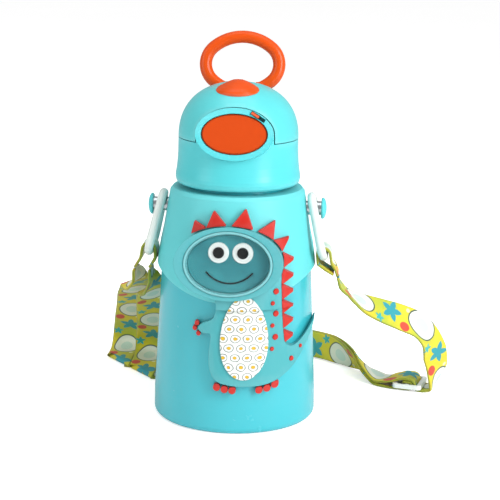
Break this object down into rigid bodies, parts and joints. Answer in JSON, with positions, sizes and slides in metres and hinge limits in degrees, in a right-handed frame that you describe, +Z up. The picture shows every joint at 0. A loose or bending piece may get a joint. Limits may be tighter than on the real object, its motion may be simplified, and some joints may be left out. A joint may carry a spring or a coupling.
{
  "type": "insulated kids water bottle with straw lid and shoulder strap",
  "caption": "Tapered double-walled flask with a soft sleeve, a padded animal face, a push-button flip straw lid, a carry ring and a webbing shoulder strap.",
  "frame": {"origin": "centre of the base on the plane the bottle stands on", "axes": "+Z up along the flask, the face looks along -Y, +X to the right seen from the front"},
  "size_m": [0.1845, 0.1476, 0.1863],
  "materials": {
    "flask_paint": "satin powder coat",
    "steel": "brushed stainless",
    "sleeve_silicone": "matte moulded silicone",
    "lid_plastic": "polished ABS",
    "dome_plastic": "polished ABS",
    "orange_gloss": "polished ABS",
    "skin_teal": "soft matte PVC",
    "belly_pale": "soft matte PVC",
    "red_soft": "soft matte PVC",
    "clear_window": "clear acrylic",
    "face_print": "matte print",
    "eye_white": "gloss",
    "eye_black": "gloss",
    "webbing": "printed polyester webbing",
    "ring_pale": "moulded nylon",
    "white_plastic": "moulded PP",
    "silicone_clear": "translucent silicone"
  },
  "bodies": {
    "bottle": {"outer_shell": "flask_paint", "inner_shell": "steel", "base_disc": "flask_paint", "sleeve": "sleeve_silicone", "stud_pins": "ring_pale", "stud_caps": "lid_plastic", "head_pad": "skin_teal", "skin_panel": "skin_teal", "belly_panel": "belly_pale", "spikes": "red_soft", "freckles": "red_soft", "claws": "red_soft", "window_bezel": "skin_teal", "window_lens": "clear_window", "face_plate": "face_print", "eye_whites": "eye_white", "eye_pupils": "eye_black", "smile": "eye_black", "strap_main": "webbing", "strap_return": "webbing", "strap_slider": "ring_pale"},
    "ring_left": {"strap_ring_left": "ring_pale", "strap_loop_left": "webbing"},
    "ring_right": {"strap_ring_right": "ring_pale", "strap_loop_right": "webbing"},
    "seal": {"neck_seal": "silicone_clear"},
    "lid": {"lid_base": "lid_plastic", "thread_insert": "white_plastic", "spout": "silicone_clear", "vent_valve": "silicone_clear", "straw": "silicone_clear", "hinge_pin": "steel", "cover_spring": "steel", "button_spring": "steel"},
    "button": {"button_cap": "orange_gloss", "button_slider": "white_plastic"},
    "lock": {"lock_tab": "orange_gloss"},
    "cover": {"dome_cover": "dome_plastic", "crown_cap": "orange_gloss", "crown_clip": "steel", "cover_seal": "silicone_clear", "ring_pin": "steel"},
    "carry_ring": {"carry_ring": "orange_gloss"}
  },
  "joints": [
    {"name": "lid_lift", "type": "slide", "parent": "bottle", "child": "seal", "axis": [0, 0, 1], "range_m": [0, 0.15]},
    {"name": "lid_turn", "type": "hinge", "parent": "seal", "child": "lid", "pos_m": [0, 0, 0.12], "axis": [0, 0, 1], "continuous": true},
    {"name": "cover_flip", "type": "hinge", "parent": "lid", "child": "cover", "pos_m": [0, 0.0298, 0.1388], "axis": [-1, 0, 0], "range_deg": [0, 135], "deforming": ["cover_spring"]},
    {"name": "button_press", "type": "slide", "parent": "lid", "child": "button", "axis": [0, 0.9781, -0.2079], "range_m": [0, 0.002], "stiffness_N_per_m": 400, "deforming": ["button_spring"]},
    {"name": "lock_slide", "type": "slide", "parent": "lid", "child": "lock", "axis": [0.848, -0.1102, -0.5183], "range_m": [0, 0.003]},
    {"name": "carry_ring_swing", "type": "hinge", "parent": "cover", "child": "carry_ring", "pos_m": [0, 0.017, 0.1586], "axis": [-1, 0, 0], "range_deg": [-25, 50]},
    {"name": "strap_ring_left_swing", "type": "hinge", "parent": "bottle", "child": "ring_left", "pos_m": [-0.0373, 0, 0.1036], "axis": [1, 0, 0], "range_deg": [-60, 60]},
    {"name": "strap_ring_right_swing", "type": "hinge", "parent": "bottle", "child": "ring_right", "pos_m": [0.0373, 0, 0.1036], "axis": [1, 0, 0], "range_deg": [-60, 60]}
  ]
}
